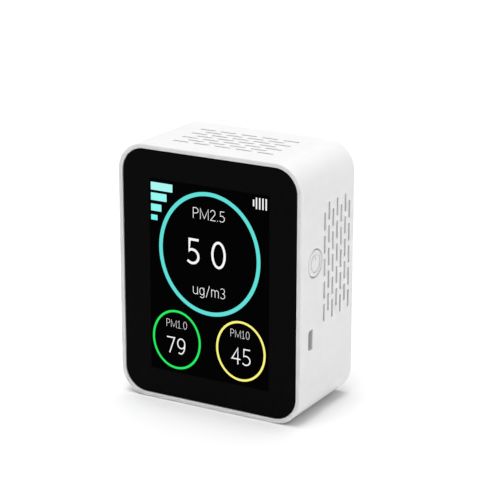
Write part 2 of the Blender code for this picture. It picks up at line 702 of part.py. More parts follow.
def build_sensor_optics():
    """Small board with the laser module, the photodiode and the cable socket."""
    board_back = SENSOR_FLOOR + GAP + 1.0 * MM
    board = block("sensor_board", (-7.2 * MM, SENSOR_FLOOR + GAP, 37.6 * MM),
                  (27.4 * MM, board_back, 56 * MM))
    as_part(board, (0.02, 0.10, 0.25), 0.4)
    part_base = board_back + GAP
    barrel = 3.1 * MM
    profile = [(0.0, 10 * MM), (1.4 * MM, 10 * MM), (1.8 * MM, 9.6 * MM), (1.8 * MM, 7 * MM),
               (barrel, 7 * MM), (barrel, 0.0), (0.0, 0.0)]
    laser = turned("laser_module", profile, (15 * MM, part_base + barrel, 39 * MM),
                   (0.0, 0.0, 0.0), 18)
    as_part(laser, (0.75, 0.55, 0.25), 0.3, 1.0)
    diode = block("photodiode", (13 * MM, part_base, 51.2 * MM),
                  (17 * MM, part_base + 2.0 * MM, 55.2 * MM))
    as_part(diode, (0.02, 0.02, 0.03), 0.2)
    socket = block("sensor_socket", (SENSOR_LOW.x - 1.5 * MM, part_base, 40 * MM),
                   (SENSOR_LOW.x + 4.5 * MM, part_base + 3.4 * MM, 49 * MM))
    as_part(socket, (0.85, 0.83, 0.76), 0.5)
    cable_y = part_base + 1.7 * MM
    cable_z = 44.5 * MM
    plug_x = -20 * MM
    corners = [(SENSOR_LOW.x - 1.5 * MM - GAP, cable_y, cable_z), (plug_x, cable_y, cable_z),
               (plug_x, PARTS_BASE + 3.4 * MM + GAP, cable_z)]
    cable = folded_strip("sensor_cable", fillet_path(corners, 3.5 * MM, 5), 8 * MM, (0, 0, 1),
                         0.9 * MM)
    as_part(cable, (0.12, 0.12, 0.12), 0.6)


def build_fan():
    """Blower motor on the tray floor, and the impeller that turns around it."""
    along_y = (-math.pi / 2, 0.0, 0.0)
    motor_profile = [(0.0, 8.2 * MM), (0.6 * MM, 8.2 * MM), (0.6 * MM, 4.2 * MM),
                     (3.3 * MM, 4.2 * MM), (3.3 * MM, 0.0), (0.0, 0.0)]
    motor = turned("fan_motor", motor_profile, (FAN_X, SENSOR_FLOOR + GAP, FAN_Z), along_y, 16)
    as_part(motor, (0.6, 0.6, 0.6), 0.3, 1.0)
    disc_low, disc_high = 4.6 * MM, 5.4 * MM
    hub_low = 0.4 * MM
    hub_profile = [(0.9 * MM, disc_high), (FAN_RADIUS, disc_high), (FAN_RADIUS, disc_low),
                   (5.0 * MM, disc_low), (5.0 * MM, hub_low), (4.2 * MM, hub_low),
                   (4.2 * MM, disc_low), (0.9 * MM, disc_low)]
    location = (FAN_X, SENSOR_FLOOR + GAP + 0.4 * MM, FAN_Z)
    impeller = turned("fan_impeller", hub_profile, location, along_y, FAN_STEPS, closed=True)
    bm = bmesh.new()
    blade_low, blade_high = Vector((-1.4 * MM, -0.3 * MM, hub_low)), Vector(
        (1.4 * MM, 0.3 * MM, (disc_low + disc_high) / 2))
    for i in range(FAN_BLADES):
        verts = add_box(bm, blade_low, blade_high)
        place = (Matrix.Rotation(2 * math.pi * i / FAN_BLADES, 4, "Z")
                 @ Matrix.Translation((7.0 * MM, 0.0, 0.0))
                 @ Matrix.Rotation(math.radians(40), 4, "Z"))
        bmesh.ops.transform(bm, matrix=place, verts=verts)
    boolean(impeller, solid("impeller_blades", bm, location, along_y), "UNION")
    as_part(impeller, (0.06, 0.06, 0.06), 0.45)


def build_gasket():
    """Foam frame between the sensor's intake and the side grille."""
    low_x, high_x = SENSOR_HIGH.x + GAP, INNER_RIGHT - GAP
    gasket = block("intake_gasket", (low_x, 3.4 * MM, 42.4 * MM), (high_x, 13.6 * MM, 62.6 * MM))
    boolean(gasket, block("gasket_window", (low_x - WALL, 5.4 * MM, 44.4 * MM),
                          (high_x + WALL, 11.6 * MM, 60.6 * MM)))
    as_part(gasket, (0.06, 0.06, 0.06), 0.95)


build_housing()
build_lens()
build_lens_tape()
build_display()
build_rear_cover()
build_fasteners()
build_board()
build_components()
build_usb()
build_button()
build_switch()
build_battery()
build_sensor_case()
build_sensor_optics()
build_fan()
build_gasket()
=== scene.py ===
"""Looks of the handheld particle monitor: fine surfaces, lit display, materials, light and camera.

Lengths are in metres in the part's own frame: origin at the centre of the base, +Z up, the display
faces -Y, and the power button and the micro-USB inlet are in the +X wall.
"""
import math

import bmesh
import bpy
from mathutils import Matrix, Vector


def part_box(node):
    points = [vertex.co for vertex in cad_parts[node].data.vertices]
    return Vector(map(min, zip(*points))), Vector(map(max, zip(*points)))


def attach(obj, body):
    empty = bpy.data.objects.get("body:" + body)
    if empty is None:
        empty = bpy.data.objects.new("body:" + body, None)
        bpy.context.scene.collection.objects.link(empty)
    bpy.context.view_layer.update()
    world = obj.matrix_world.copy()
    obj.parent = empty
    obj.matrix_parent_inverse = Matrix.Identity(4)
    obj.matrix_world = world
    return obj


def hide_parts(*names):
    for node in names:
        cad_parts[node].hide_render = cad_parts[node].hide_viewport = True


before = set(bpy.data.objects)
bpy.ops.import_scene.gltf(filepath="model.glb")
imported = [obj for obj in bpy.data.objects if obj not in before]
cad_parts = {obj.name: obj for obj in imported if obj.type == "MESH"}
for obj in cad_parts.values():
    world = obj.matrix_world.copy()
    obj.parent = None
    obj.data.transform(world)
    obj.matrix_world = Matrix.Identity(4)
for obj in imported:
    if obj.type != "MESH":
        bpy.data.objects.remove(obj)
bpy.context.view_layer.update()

MM = 0.001

# Facets in a quarter turn, of a corner and of a softened edge, and in a full turn, of the rest.
CORNER_STEPS = 20
EDGE_STEPS = 4
ROUND_STEPS = 72
RING_STEPS = 96
SINK_STEPS = 48
SCREW_STEPS = 40
BOSS_STEPS = 32
TUBE_STEPS = 16

# How far a cutter's flare stands off the face it opens, and how close points merge after a cut.
FEATHER = 0.004 * MM
MERGE = 0.0005 * MM

# Edges that turn by more than this, in degrees, stay sharp.
SHARP_ANGLE = 32.0
CAP_SHARP_ANGLE = 40.0

# Outer box of the housing and the faces set from it.
BODY_LOW, BODY_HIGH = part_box("housing")
LEFT, FRONT, BASE = BODY_LOW
RIGHT, REAR, TOP = BODY_HIGH
CORNER = 10.0 * MM
WALL = 2.0 * MM
RIM = 1.6 * MM
FRONT_ROUND = 0.5 * MM
REAR_ROUND = 0.8 * MM
FINE_ROUND = 0.2 * MM

# Lens, tape and ledge, one behind the other.
LENS_LOW, LENS_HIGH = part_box("front_glass")
TAPE_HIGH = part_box("lens_adhesive")[1]
LEDGE_GAP = 0.3 * MM
LEDGE_THICK = 1.5 * MM
LEDGE_FRONT = TAPE_HIGH.y + LEDGE_GAP
LEDGE_BACK = LEDGE_FRONT + LEDGE_THICK
WINDOW_LOW = (-25.9 * MM, 5.2 * MM)
WINDOW_HIGH = (25.9 * MM, 81.6 * MM)
WINDOW_CORNER = 0.6 * MM

# Grilles: a staggered grid of slots in the right wall and another in the top wall.
SLOT_LENGTH = 6.2 * MM
SLOT_WIDTH = 1.2 * MM
SLOT_CORNER = 0.4 * MM
SLOT_EDGE = 0.22 * MM
SIDE_COLUMNS = 7
SIDE_ROWS = 5
SIDE_COLUMN_PITCH = 2.92 * MM
SIDE_ROW_PITCH = 7.93 * MM
SIDE_STAGGER = 3.0 * MM
SIDE_CENTRE_Y = 6.5 * MM
SIDE_CENTRE_Z = 51.65 * MM
TOP_ROWS = 7
TOP_ROW_PITCH = 3.0 * MM
TOP_SLOT_PITCH = 8.1 * MM
TOP_LONG_ROW = 5
TOP_CENTRE_Y = -0.4 * MM

# Screw bosses of the housing; the cover's four stand in the corners.
BOSS_INSET = 6.2 * MM
BOSS_X = RIGHT - BOSS_INSET
COVER_BOSS_Z = (BOSS_INSET, TOP - BOSS_INSET)
BOARD_BOSS_Z = (16.0 * MM, 74.0 * MM)
COVER_BOSS_RADIUS = 3.0 * MM
BOARD_BOSS_RADIUS = 2.4 * MM
PILOT_RADIUS = 1.1 * MM
BOSS_CLEARANCE = 0.3 * MM
BOSS_ROOT = 0.5 * MM

# Power button: its cap, its flange behind the wall, and the sign sunk into its face.
BUTTON_LOW, BUTTON_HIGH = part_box("power_button")
BUTTON_Y = (BUTTON_LOW.y + BUTTON_HIGH.y) / 2
BUTTON_Z = (BUTTON_LOW.z + BUTTON_HIGH.z) / 2
BUTTON_FLANGE = (BUTTON_HIGH.z - BUTTON_LOW.z) / 2
BUTTON_RADIUS = 4.6 * MM
BUTTON_HOLE = 4.95 * MM
FLANGE_THICK = 0.8 * MM
FLANGE_RELIEF = 0.1 * MM
BUTTON_EDGE = 0.4 * MM
HOLE_EDGE = 0.35 * MM
SYMBOL_RADIUS = 3.05 * MM
SYMBOL_TOOL = 0.38 * MM
SYMBOL_LIFT = -0.06 * MM
SYMBOL_OPEN = math.radians(24.0)
SYMBOL_STEPS = 48
BAR_LOW = 1.4 * MM
BAR_HIGH = 3.6 * MM

# Mouth of the micro-USB inlet.
MOUTH_Y = -11.75 * MM
MOUTH_Z = 28.95 * MM
MOUTH_WIDE = 7.1 * MM
MOUTH_HIGH = 3.0 * MM
MOUTH_CHAMFER = 0.8 * MM
MOUTH_EDGE = 0.12 * MM

# Rear cover, its countersinks and its field for a label.
COVER_LOW, COVER_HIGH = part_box("rear_cover")
COVER_GAP = 0.3 * MM
COVER_CORNER = CORNER - WALL - COVER_GAP
COVER_EDGE = 1.5 * FINE_ROUND
SINK_RADIUS = 2.4 * MM
SINK_DEPTH = 1.4 * MM
LABEL_LOW = (-22.0 * MM, 24.0 * MM)
LABEL_HIGH = (22.0 * MM, 52.0 * MM)
LABEL_CORNER = 2.0 * MM
LABEL_CORNER_STEPS = 8
LABEL_DEPTH = 0.45 * MM
LABEL_EDGE = 0.35 * MM

# Rear screws: shaft with a blunt point, pan head, and a cross recess given as (height over the
# head, half length, half width) at its floor and just above its mouth.
SHAFT_RADIUS = 0.8 * MM
POINT_SHARE = 0.4
POINT_LENGTH = 0.6 * MM
HEAD_HIGH = 1.0 * MM
HEAD_ROUND = 0.45 * MM
CROSS_LEVELS = ((-0.55 * MM, 0.6 * MM, 0.16 * MM), (0.1 * MM, 1.15 * MM, 0.27 * MM))
CROSS_CORNER = 0.08 * MM
CROSS_CORNER_STEPS = 3


# ---------------------------------------------------------------- modelling helpers

def axes(origin, u, v, w):
    """The matrix that takes local (u, v, w) to the part's frame."""
    matrix = Matrix((u, v, w)).transposed().to_4x4()
    matrix.translation = origin
    return matrix


X, Y, Z = Vector((1, 0, 0)), Vector((0, 1, 0)), Vector((0, 0, 1))
TOWARDS_REAR = axes((0, 0, 0), X, Z, Y)


def outline(low, high, radius, steps=CORNER_STEPS):
    """A rounded rectangle between two corners, as a loop of (u, v) points."""
    points = []
    signs = ((1, 1), (-1, 1), (-1, -1), (1, -1))
    for quarter, (sign_u, sign_v) in enumerate(signs):
        u = (high[0] if sign_u > 0 else low[0]) - sign_u * radius
        v = (high[1] if sign_v > 0 else low[1]) - sign_v * radius
        for i in range(steps + 1):
            angle = (quarter + i / steps) * math.pi / 2
            points.append((u + radius * math.cos(angle), v + radius * math.sin(angle)))
    return points


def oval(half_u, half_v, centre=(0.0, 0.0), steps=ROUND_STEPS):
    """An ellipse as a loop of (u, v) points."""
    turns = [2 * math.pi * i / steps for i in range(steps)]
    return [(centre[0] + half_u * math.cos(t), centre[1] + half_v * math.sin(t)) for t in turns]


def softened(path, steps=EDGE_STEPS):
    """A profile of right-angled corners (a, b, radius), each rounded by its own radius."""
    points = []
    for i, (a, b, radius) in enumerate(path):
        corner = Vector((a, b))
        if radius == 0.0:
            points.append(corner)
            continue
        before = (Vector(path[i - 1][:2]) - corner).normalized()
        after = (Vector(path[i + 1][:2]) - corner).normalized()
        centre = corner + (before + after) * radius
        for step in range(steps + 1):
            turn = step / steps * math.pi / 2
            points.append(centre - radius * (after * math.cos(turn) + before * math.sin(turn)))
    return points


def flared(depth, edge, rise=WALL):
    """A cutter's (height, growth) profile: straight, then opening out to round the hole's edge."""
    profile = [(-depth, 0.0)]
    for step in range(EDGE_STEPS + 1):
        turn = step / EDGE_STEPS * math.pi / 2
        profile.append((edge * (math.sin(turn) - 1) + FEATHER, edge * (1 - math.cos(turn))))
    profile.append((rise, edge))
    return profile


def add_skin(bm, rows, ring):
    """Adds the faces between rows of points; a ring closes on itself, anything else gets ends."""
    pairs = list(zip(rows, rows[1:]))
    if ring:
        pairs.append((rows[-1], rows[0]))
    else:
        bm.faces.new(rows[0])
        bm.faces.new(rows[-1])
    for first, second in pairs:
        for i, vert in enumerate(first):
            j = (i + 1) % len(first)
            bm.faces.new((vert, first[j], second[j], second[i]))


def add_loft(bm, matrix, levels, ring=False):
    """Adds a solid through levels of (height, loop); a ring joins its last level to its first."""
    rows = [[bm.verts.new(matrix @ Vector((u, v, height))) for u, v in loop]
            for height, loop in levels]
    add_skin(bm, rows, ring)


# The rings that round off a tube's end, as (distance past the end, size), both in radii.
TUBE_END = ((0.6, 0.75), (0.9, 0.35))


def add_tube(bm, points, radius):
    """Adds a round bar along a flat path in a plane across X, with rounded ends."""
    count = len(points)
    turns = [2 * math.pi * k / TUBE_STEPS for k in range(TUBE_STEPS)]
    rows = []
    for i, point in enumerate(points):
        before = points[max(i - 1, 0)]
        after = points[min(i + 1, count - 1)]
        along = (after - before).normalized()
        side = along.cross(X)
        rings = [(0.0, 1.0), *(TUBE_END if i in (0, count - 1) else ())]
        if i == 0:
            rings.reverse()
        outwards = -along if i == 0 else along
        for push, size in rings:
            centre = point + outwards * push * radius
            spokes = [X * math.cos(t) + side * math.sin(t) for t in turns]
            rows.append([bm.verts.new(centre + radius * size * spoke) for spoke in spokes])
    add_skin(bm, rows, False)


def piece(name, bm):
    """An object from a finished bmesh, with its faces turned outwards."""
    bmesh.ops.recalc_face_normals(bm, faces=bm.faces)
    mesh = bpy.data.meshes.new(name)
    bm.to_mesh(mesh)
    bm.free()
    obj = bpy.data.objects.new(name, mesh)
    bpy.context.scene.collection.objects.link(obj)
    return obj


def loft(name, matrix, levels, ring=False):
    """One lofted solid as an object."""
    bm = bmesh.new()
    add_loft(bm, matrix, levels, ring)
    return piece(name, bm)


def boolean(target, tool, operation="DIFFERENCE"):
    """Cuts the tool from the target, or joins the two, and removes the tool."""
    modifier = target.modifiers.new(operation, "BOOLEAN")
    modifier.operation = operation
    modifier.solver = "EXACT"
    modifier.object = tool
    depsgraph = bpy.context.evaluated_depsgraph_get()
    result = bpy.data.meshes.new_from_object(target.evaluated_get(depsgraph))
    target.modifiers.clear()
    bm = bmesh.new()
    bm.from_mesh(result)
    bmesh.ops.remove_doubles(bm, verts=bm.verts, dist=MERGE)
    bmesh.ops.dissolve_degenerate(bm, edges=bm.edges, dist=MERGE)
    bm.to_mesh(result)
    bm.free()
    target.data = result
    bpy.data.objects.remove(tool)


def finished(obj, body, material, angle=SHARP_ANGLE):
    """Smooth shading that keeps flat faces flat, then the piece's body and material."""
    obj.data.materials.clear()
    obj.data.materials.append(material)
    for polygon in obj.data.polygons:
        polygon.material_index = 0
    obj.data.shade_smooth()
    obj.data.set_sharp_from_angle(angle=math.radians(angle))
    weighted = obj.modifiers.new("even normals", "WEIGHTED_NORMAL")
    weighted.keep_sharp = True
    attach(obj, body)
    return obj


# ---------------------------------------------------------------- materials

# The parts of a noise texture's values that a gloss and a colour spread over their whole range.
GLOSS_BAND = (0.3, 0.7)
COLOR_BAND = (0.32, 0.68)

# Pixels of the lit display: their pitch, and how bright their borders are.
PIXEL = 0.2 * MM
PIXEL_BORDER = 0.9


def node(tree, kind, **inputs):
    """A shader node with the given values on its inputs."""
    made = tree.nodes.new("ShaderNode" + kind)
    for name, value in inputs.items():
        made.inputs[name.replace("_", " ")].default_value = value
    return made


def texture(tree, kind, scale, stretch=(1.0, 1.0, 1.0), **inputs):
    """A texture in the piece's own coordinates, in metres; scale is repeats per metre."""
    place = node(tree, "TexCoord")
    mapping = node(tree, "Mapping", Scale=[scale * s for s in stretch])
    pattern = node(tree, kind, **inputs)
    tree.links.new(place.outputs["Object"], mapping.inputs["Vector"])
    tree.links.new(mapping.outputs["Vector"], pattern.inputs["Vector"])
    return pattern


def ranged(tree, source, low, high):
    """A texture's middle values, spread from low to high."""
    mapped = node(tree, "MapRange", From_Min=GLOSS_BAND[0], From_Max=GLOSS_BAND[1],
                  To_Min=low, To_Max=high)
    tree.links.new(source, mapped.inputs["Value"])
    return mapped.outputs["Result"]


def blended(tree, source, first, second):
    """A colour between two, by a texture's value."""
    ramp = tree.nodes.new("ShaderNodeValToRGB")
    for element, place, color in zip(ramp.color_ramp.elements, COLOR_BAND, (first, second)):
        element.position = place
        element.color = (*color, 1.0)
    tree.links.new(source, ramp.inputs["Fac"])
    return ramp.outputs["Color"]


def surface(name, first, second, roughness, patch, grain, bump, metallic=0.0,
            cells=False, stretch=(1.0, 1.0, 1.0), **sockets):
    """A material whose colour drifts between two shades, with uneven gloss and a fine grain.

    patch and grain are the sizes of the colour patches and of the grain, and bump is the grain's
    height, all in metres. Cells gives foam-like pits instead of grain.
    """
    material = bpy.data.materials.new(name)
    material.use_nodes = True
    tree = material.node_tree
    shader = tree.nodes["Principled BSDF"]
    shader.inputs["Metallic"].default_value = metallic
    for socket, value in sockets.items():
        shader.inputs[socket.replace("_", " ")].default_value = value
    drift = texture(tree, "TexNoise", 1 / patch, stretch, Detail=3.0)
    links = tree.links
    links.new(blended(tree, drift.outputs["Fac"], first, second), shader.inputs["Base Color"])
    gloss = texture(tree, "TexNoise", 3 / patch, stretch, Detail=2.0)
    links.new(ranged(tree, gloss.outputs["Fac"], *roughness), shader.inputs["Roughness"])
    if cells:
        fine = texture(tree, "TexVoronoi", 1 / grain, stretch).outputs["Distance"]
    else:
        fine = texture(tree, "TexNoise", 1 / grain, stretch, Detail=2.0).outputs["Fac"]
    relief = node(tree, "Bump", Strength=1.0, Distance=bump)
    links.new(fine, relief.inputs["Height"])
    links.new(relief.outputs["Normal"], shader.inputs["Normal"])
    return material


def lit(name, color, strength=1.0):
    """Display picture: light through a fine grid of pixels, a little dimmer between them."""
    material = bpy.data.materials.new(name)
    material.use_nodes = True
    tree = material.node_tree
    shader = tree.nodes["Principled BSDF"]
    shader.inputs["Base Color"].default_value = (0.0, 0.0, 0.0, 1.0)
    shader.inputs["Specular IOR Level"].default_value = 0.0
    shader.inputs["Roughness"].default_value = 0.1
    grid = texture(tree, "TexVoronoi", 1 / PIXEL)
    grid.distance = "CHEBYCHEV"
    grid.inputs["Randomness"].default_value = 0.0
    dimmed = [c * PIXEL_BORDER for c in color]
    links = tree.links
    pixels = blended(tree, grid.outputs["Distance"], color, dimmed)
    links.new(pixels, shader.inputs["Emission Color"])
    shader.inputs["Emission Strength"].default_value = strength
    return material


WHITE = surface("white_plastic", (0.795, 0.795, 0.795), (0.815, 0.815, 0.815), (0.32, 0.40),
                18 * MM, 0.16 * MM, 0.0012 * MM, Subsurface_Weight=0.4, Subsurface_Scale=1.2 * MM,
                Subsurface_Radius=(1.0, 1.0, 1.0))
COVER_WHITE = surface("cover_plastic", (0.775, 0.775, 0.772), (0.79, 0.79, 0.787), (0.46, 0.54),
                      14 * MM, 0.25 * MM, 0.004 * MM)
BUTTON_WHITE = surface("button_plastic", (0.78, 0.78, 0.78), (0.80, 0.80, 0.80), (0.36, 0.44),
                       6 * MM, 0.15 * MM, 0.001 * MM)
LENS_BLACK = surface("lens_black", (0.0022, 0.0022, 0.0022), (0.0027, 0.0027, 0.0027),
                     (0.10, 0.16), 12 * MM, 2.0 * MM, 0.0002 * MM, Specular_IOR_Level=0.02)
SCREEN_BLACK = surface("screen_black", (0.0001, 0.0001, 0.0001), (0.0003, 0.0003, 0.0004),
                       (0.12, 0.2), 8 * MM, 0.3 * MM, 0.0001 * MM, Specular_IOR_Level=0.01)
STEEL = surface("screw_steel", (0.34, 0.34, 0.35), (0.50, 0.50, 0.51), (0.22, 0.42),
                1.2 * MM, 0.2 * MM, 0.01 * MM, metallic=1.0)

# One finish for each kind of CAD node that stays as it is.
FINISHES = {
    "foam": surface("black_foam", (0.012, 0.012, 0.012), (0.03, 0.03, 0.03), (0.85, 0.98),
                    3 * MM, 0.4 * MM, 0.12 * MM, cells=True),
    "panel": surface("display_glass", (0.006, 0.007, 0.010), (0.012, 0.013, 0.018),
                     (0.06, 0.12), 20 * MM, 0.3 * MM, 0.0005 * MM),
    "tray": surface("backlight_tray", (0.42, 0.43, 0.45), (0.56, 0.57, 0.60), (0.28, 0.40),
                    8 * MM, 0.3 * MM, 0.003 * MM, metallic=0.6, stretch=(0.2, 1.0, 1.0)),
    "flex": surface("amber_film", (0.42, 0.17, 0.02), (0.58, 0.27, 0.05), (0.25, 0.40),
                    4 * MM, 0.8 * MM, 0.01 * MM, stretch=(4.0, 1.0, 0.1)),
    "cream": surface("connector_cream", (0.70, 0.66, 0.55), (0.78, 0.74, 0.63), (0.42, 0.55),
                     2 * MM, 0.2 * MM, 0.004 * MM),
    "green": surface("board_green", (0.008, 0.075, 0.028), (0.02, 0.15, 0.06), (0.25, 0.42),
                     2.5 * MM, 0.7 * MM, 0.02 * MM, stretch=(1.0, 1.0, 0.35)),
    "blue": surface("board_blue", (0.006, 0.04, 0.12), (0.015, 0.08, 0.22), (0.25, 0.42),
                    2.5 * MM, 0.7 * MM, 0.02 * MM, stretch=(0.35, 1.0, 1.0)),
    "chip": surface("chip_black", (0.012, 0.012, 0.013), (0.028, 0.028, 0.03), (0.50, 0.68),
                    1.5 * MM, 0.12 * MM, 0.008 * MM),
    "can": surface("crystal_can", (0.52, 0.52, 0.54), (0.66, 0.66, 0.68), (0.18, 0.32),
                   2 * MM, 0.2 * MM, 0.003 * MM, metallic=1.0, stretch=(0.2, 1.0, 1.0)),
    "plated": surface("usb_steel", (0.50, 0.50, 0.51), (0.64, 0.64, 0.65), (0.22, 0.36),
                      1.5 * MM, 0.2 * MM, 0.004 * MM, metallic=1.0),
    "black": surface("moulded_black", (0.014, 0.014, 0.015), (0.03, 0.03, 0.032), (0.42, 0.58),
                     5 * MM, 0.2 * MM, 0.006 * MM),
    "ivory": surface("plunger_ivory", (0.58, 0.54, 0.44), (0.66, 0.62, 0.52), (0.38, 0.50),
                     1 * MM, 0.15 * MM, 0.003 * MM),
    "pouch": surface("battery_foil", (0.34, 0.35, 0.37), (0.50, 0.51, 0.54), (0.26, 0.44),
                     6 * MM, 1.8 * MM, 0.05 * MM, metallic=0.7),
    "tape": surface("tape_white", (0.74, 0.73, 0.66), (0.84, 0.83, 0.77), (0.70, 0.85),
                    5 * MM, 0.3 * MM, 0.02 * MM),
    "red": surface("lead_red", (0.42, 0.012, 0.010), (0.55, 0.022, 0.018), (0.36, 0.50),
                   2 * MM, 0.3 * MM, 0.005 * MM),
    "wire": surface("lead_black", (0.010, 0.010, 0.010), (0.022, 0.022, 0.022), (0.36, 0.50),
                    2 * MM, 0.3 * MM, 0.005 * MM),
    "shield": surface("sensor_shield", (0.40, 0.41, 0.42), (0.54, 0.55, 0.56), (0.24, 0.38),
                      5 * MM, 0.15 * MM, 0.004 * MM, metallic=1.0, stretch=(0.08, 1.0, 1.0)),
    "brass": surface("laser_brass", (0.48, 0.31, 0.10), (0.62, 0.42, 0.16), (0.20, 0.34),
                     1.5 * MM, 0.12 * MM, 0.006 * MM, metallic=1.0, stretch=(0.1, 0.1, 1.0)),
    "diode": surface("diode_black", (0.010, 0.010, 0.016), (0.020, 0.020, 0.030), (0.08, 0.16),
                     1.5 * MM, 0.2 * MM, 0.002 * MM),
    "motor": surface("motor_steel", (0.36, 0.36, 0.37), (0.50, 0.50, 0.51), (0.24, 0.38),
                     2 * MM, 0.15 * MM, 0.004 * MM, metallic=1.0, stretch=(1.0, 0.1, 1.0)),
    "steel": STEEL,
}
KEPT_NODES = {
    "lens_adhesive": "foam", "sensor_pad": "foam", "intake_gasket": "foam",
    "lcd_panel": "panel", "lcd_backlight": "tray", "lcd_flex": "flex",
    "lcd_connector": "cream", "battery_connector": "cream", "sensor_connector": "cream",
    "sensor_socket": "cream", "main_board": "green", "sensor_board": "blue",
    "microcontroller": "chip", "charger_chip": "chip", "photodiode": "diode",
    "crystal": "can", "usb_shell": "plated", "usb_tongue": "black", "switch_body": "black",
    "switch_plunger": "ivory", "battery": "pouch", "battery_tape": "tape",
    "battery_lead_positive": "red", "battery_lead_negative": "wire",
    "sensor_case": "black", "sensor_lid": "shield", "laser_module": "brass",
    "fan_motor": "motor", "fan_impeller": "black", "sensor_cable": "wire",
    "board_screw_1": "steel", "board_screw_2": "steel",
    "board_screw_3": "steel", "board_screw_4": "steel",
}
for node_name, finish in KEPT_NODES.items():
    cad_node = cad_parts[node_name]
    if not cad_node.material_slots:
        cad_node.data.materials.append(FINISHES[finish])
    for material_slot in cad_node.material_slots:
        material_slot.material = FINISHES[finish]


# ---------------------------------------------------------------- housing

def body_loop(inset):
    """The housing's rounded outline, moved inwards."""
    return outline((LEFT + inset, BASE + inset), (RIGHT - inset, TOP - inset), CORNER - inset)


def add_boss(bm, x, z, radius, end_y):
    """Adds a screw boss: a tube that grows from the ledge towards the rear."""
    wall = oval(radius, radius, (x, z), BOSS_STEPS)
    pilot = oval(PILOT_RADIUS, PILOT_RADIUS, (x, z), BOSS_STEPS)
    root_y = LEDGE_FRONT + BOSS_ROOT
    levels = [(root_y, wall), (end_y, wall), (end_y, pilot), (root_y, pilot)]
    add_loft(bm, TOWARDS_REAR, levels, ring=True)


def add_slot(bm, centre, along, normal):
    """Adds the cutter of one grille slot, which leaves the slot's outer edge rounded."""
    matrix = axes(centre, along, Y, normal)
    levels = []
    for height, growth in flared(2 * WALL, SLOT_EDGE):
        half_long = SLOT_LENGTH / 2 + growth
        half_wide = SLOT_WIDTH / 2 + growth
        loop = outline((-half_long, -half_wide), (half_long, half_wide), SLOT_CORNER + growth,
                       EDGE_STEPS)
        levels.append((height, loop))
    add_loft(bm, matrix, levels)


def add_grilles(bm):
    """Adds the slots of the side grille, every second column raised, and of the top grille."""
    for column in range(SIDE_COLUMNS):
        y = SIDE_CENTRE_Y + (column - (SIDE_COLUMNS - 1) / 2) * SIDE_COLUMN_PITCH
        raised = SIDE_STAGGER if column % 2 else 0.0
        for row in range(SIDE_ROWS):
            z = SIDE_CENTRE_Z + raised + (row - (SIDE_ROWS - 1) / 2) * SIDE_ROW_PITCH
            add_slot(bm, (RIGHT, y, z), Z, X)
    for row in range(TOP_ROWS):
        count = TOP_LONG_ROW - row % 2
        y = TOP_CENTRE_Y + (row - (TOP_ROWS - 1) / 2) * TOP_ROW_PITCH
        for i in range(count):
            add_slot(bm, ((i - (count - 1) / 2) * TOP_SLOT_PITCH, y, TOP), X, Z)


def mouth_loop(growth):
    """The inlet's outline about its centre, as (y, z), its two front corners cut off."""
    wide = MOUTH_WIDE / 2 + growth
    high = MOUTH_HIGH / 2 + growth
    cut = MOUTH_CHAMFER
    return [(high, -wide), (high, wide), (cut - high, wide), (-high, wide - cut),
            (-high, cut - wide), (cut - high, -wide)]


def build_housing():
    """Front frame and four walls in one moulding, with its grilles, hole and mouth."""
    profile = softened([(LEDGE_FRONT, RIM, 0.0), (FRONT, RIM, FINE_ROUND),
                        (FRONT, 0.0, FRONT_ROUND), (REAR, 0.0, REAR_ROUND),
                        (REAR, WALL, FINE_ROUND), (LEDGE_BACK, WALL, 0.0)])
    window = outline(WINDOW_LOW, WINDOW_HIGH, WINDOW_CORNER)
    levels = [(LEDGE_FRONT, window)]
    levels += [(y, body_loop(inset)) for y, inset in profile]
    levels += [(LEDGE_BACK, window)]
    housing = loft("housing_shell", TOWARDS_REAR, levels, ring=True)
    openings = bmesh.new()
    add_grilles(openings)
    hole = [(height, oval(BUTTON_HOLE + growth, BUTTON_HOLE + growth))
            for height, growth in flared(2 * WALL, HOLE_EDGE)]
    add_loft(openings, axes((RIGHT, BUTTON_Y, BUTTON_Z), Y, Z, X), hole)
    mouth = [(height, mouth_loop(growth)) for height, growth in flared(2 * WALL, MOUTH_EDGE)]
    add_loft(openings, axes((RIGHT, MOUTH_Y, MOUTH_Z), Y, Z, X), mouth)
    boolean(housing, piece("openings", openings))
    bosses = bmesh.new()
    board_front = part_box("main_board")[0].y
    for x in (-BOSS_X, BOSS_X):
        for z in COVER_BOSS_Z:
            add_boss(bosses, x, z, COVER_BOSS_RADIUS, COVER_LOW.y - BOSS_CLEARANCE)
        for z in BOARD_BOSS_Z:
            add_boss(bosses, x, z, BOARD_BOSS_RADIUS, board_front - BOSS_CLEARANCE)
    boolean(housing, piece("bosses", bosses), "UNION")
    finished(housing, "case", WHITE)
    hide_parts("housing")


def build_lens():
    """Cover lens with a polished edge."""
    inset = LENS_LOW.x - LEFT
    profile = softened([(LENS_HIGH.y, inset, 0.0), (LENS_LOW.y, inset, FINE_ROUND),
                        (LENS_LOW.y, CORNER, 0.0)])
    levels = [(y, body_loop(edge)) for y, edge in profile[:-1]]
    lens = loft("cover_lens", TOWARDS_REAR, levels)
    finished(lens, "case", LENS_BLACK)
    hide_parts("front_glass")


